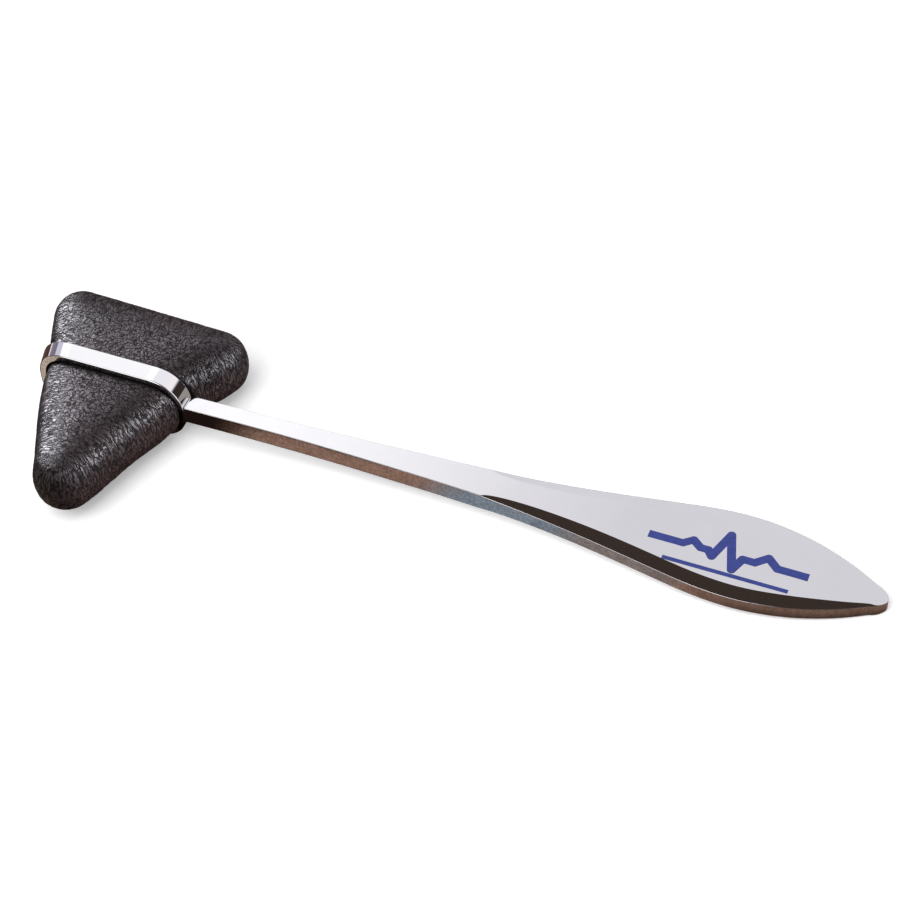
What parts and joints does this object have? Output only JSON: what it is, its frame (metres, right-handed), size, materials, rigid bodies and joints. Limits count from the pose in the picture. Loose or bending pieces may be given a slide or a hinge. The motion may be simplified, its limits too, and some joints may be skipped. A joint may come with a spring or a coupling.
{
  "type": "reflex hammer",
  "caption": "Hand-held percussion hammer for testing tendon reflexes: a triangular rubber head held in a chromed strip loop on a flat chromed handle that widens to a pointed blade",
  "frame": {"origin": "centre of the loop's lower flat, on the handle's centre line; the head rests on this face", "axes": "+X along the handle from the head to the point, +Y across the handle towards the base of the triangular head, +Z normal to the wide faces"},
  "size_m": [0.1988, 0.0564, 0.0172],
  "materials": {
    "handle_chrome": "mirror-polished chrome plate",
    "loop_chrome": "mirror-polished chrome plate",
    "head_rubber": "moulded rubber with a fine wrinkled grain, satin"
  },
  "bodies": {
    "root": {"handle": "handle_chrome", "head_loop": "loop_chrome", "rubber_head": "head_rubber"}
  },
  "joints": []
}
